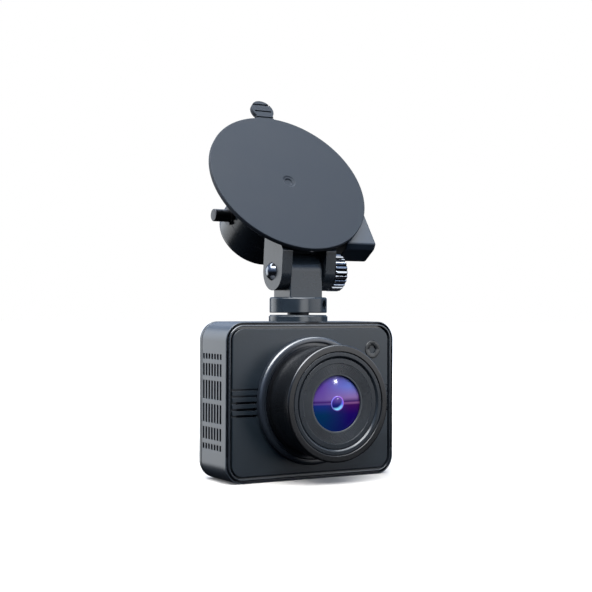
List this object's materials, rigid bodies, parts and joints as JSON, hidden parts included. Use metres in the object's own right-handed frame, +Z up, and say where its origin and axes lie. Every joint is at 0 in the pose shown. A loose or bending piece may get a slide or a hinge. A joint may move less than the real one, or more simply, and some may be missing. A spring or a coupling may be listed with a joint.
{
  "type": "dash camera",
  "caption": "Compact dashboard camera with a round lens barrel, side vents, rear screen and keys, on a swivelling and tilting suction mount with a clamp knob and a locking lever.",
  "frame": {"origin": "centre of the camera body's flat bottom face", "axes": "+Z up, +X to the right as the lens is faced, -Y the way the lens looks"},
  "size_m": [0.067, 0.0673, 0.1356],
  "materials": {
    "shell_plastic": "satin moulded plastic",
    "cover_plastic": "fine satin moulded plastic",
    "panel_plastic": "fine satin moulded plastic",
    "rear_plastic": "fine matt moulded plastic",
    "emblem_black": "gloss black",
    "flange_plastic": "satin moulded plastic",
    "barrel_black": "satin black",
    "ring_black": "satin black",
    "baffle_black": "matt black",
    "coated_glass": "purple and blue anti-reflection coating",
    "optic_glass": "clear",
    "cell_black": "anodised black",
    "board_green": "solder resist",
    "chip_black": "moulded package",
    "tin": "tinned sheet",
    "cell_foil": "foil pouch",
    "display_black": "screen module",
    "screen_glass": "tinted cover",
    "key_black": "satin",
    "screw_black": "black zinc",
    "collar_plastic": "satin moulded plastic",
    "steel": "bright steel",
    "brass": "turned brass",
    "mount_plastic": "satin moulded plastic",
    "knob_plastic": "gloss knurled plastic, plated dark",
    "bolt_steel": "dark polished steel",
    "cup_rubber": "matt rubber with a fine grain",
    "stud_plastic": "natural acetal",
    "lever_plastic": "satin moulded plastic"
  },
  "bodies": {
    "camera": {"main_shell": "shell_plastic", "front_cover": "cover_plastic", "front_panel": "panel_plastic", "rear_cover": "rear_plastic", "emblem": "emblem_black", "lens_flange": "flange_plastic", "lens_barrel": "barrel_black", "trim_ring": "ring_black", "retaining_ring": "ring_black", "lens_baffle": "baffle_black", "front_lens": "coated_glass", "middle_lens": "optic_glass", "rear_lens": "optic_glass", "aperture_stop": "baffle_black", "lens_cell": "cell_black", "sensor_holder": "cell_black", "ir_filter": "optic_glass", "image_sensor": "chip_black", "sensor_board": "board_green", "main_board": "board_green", "processor": "chip_black", "board_shield": "tin", "backup_cell": "cell_foil", "display": "display_black", "screen_cover": "screen_glass", "speaker": "chip_black", "microphone": "tin", "card_socket": "tin", "power_socket": "tin", "key_board": "board_green", "key_switches": "tin", "body_screws": "screw_black", "foot_ring": "collar_plastic"},
    "card": {"memory_card": "chip_black"},
    "menu": {"menu_key": "key_black"},
    "up": {"up_key": "key_black"},
    "down": {"down_key": "key_black"},
    "ok": {"ok_key": "key_black"},
    "reset": {"reset_button": "key_black"},
    "swivel": {"swivel_collar": "collar_plastic", "set_screw": "steel", "spindle": "screw_black", "spindle_washer": "screw_black", "spindle_screw": "screw_black"},
    "head": {"mount_housing": "mount_plastic", "housing_cap": "mount_plastic", "housing_screw": "steel", "clamp_bolt": "bolt_steel", "clamp_washer": "steel", "suction_cup": "cup_rubber"},
    "knob": {"clamp_knob": "knob_plastic", "knob_nut": "brass"},
    "lever": {"lever_pin": "screw_black", "pin_clip": "screw_black", "pin_cam": "stud_plastic", "lever_paddle": "lever_plastic"},
    "stud": {"cup_stud": "stud_plastic"}
  },
  "joints": [
    {"name": "swivel_turn", "type": "hinge", "parent": "camera", "child": "swivel", "pos_m": [0, 0, 0.057], "axis": [0, 0, 1], "continuous": true},
    {"name": "mount_tilt", "type": "hinge", "parent": "swivel", "child": "head", "pos_m": [0, 0, 0.0714], "axis": [1, 0, 0], "range_deg": [-25, 60]},
    {"name": "knob_turn", "type": "hinge", "parent": "head", "child": "knob", "pos_m": [0.014, 0, 0.0714], "axis": [1, 0, 0], "continuous": true},
    {"name": "lever_swing", "type": "hinge", "parent": "head", "child": "lever", "pos_m": [0, 0.02364, 0.09197], "axis": [1, 0, 0], "range_deg": [0, 90]},
    {"name": "stud_slide", "type": "slide", "parent": "head", "child": "stud", "axis": [0, -0.8192, 0.5736], "range_m": [0, 0.0012]},
    {"name": "card_slide", "type": "slide", "parent": "camera", "child": "card", "axis": [0, 0, -1], "range_m": [0, 0.016]},
    {"name": "menu_press", "type": "slide", "parent": "camera", "child": "menu", "axis": [0, -1, 0], "range_m": [0, 0.0005], "stiffness_N_per_m": 600},
    {"name": "up_press", "type": "slide", "parent": "camera", "child": "up", "axis": [0, -1, 0], "range_m": [0, 0.0005], "stiffness_N_per_m": 600},
    {"name": "down_press", "type": "slide", "parent": "camera", "child": "down", "axis": [0, -1, 0], "range_m": [0, 0.0005], "stiffness_N_per_m": 600},
    {"name": "ok_press", "type": "slide", "parent": "camera", "child": "ok", "axis": [0, -1, 0], "range_m": [0, 0.0005], "stiffness_N_per_m": 600},
    {"name": "reset_press", "type": "slide", "parent": "camera", "child": "reset", "axis": [0, 0, 1], "range_m": [0, 0.0005], "stiffness_N_per_m": 600}
  ],
  "couplings": [
    {"joint": "stud_slide", "follows": "lever_swing", "m_per_rad": 0.00076394}
  ]
}
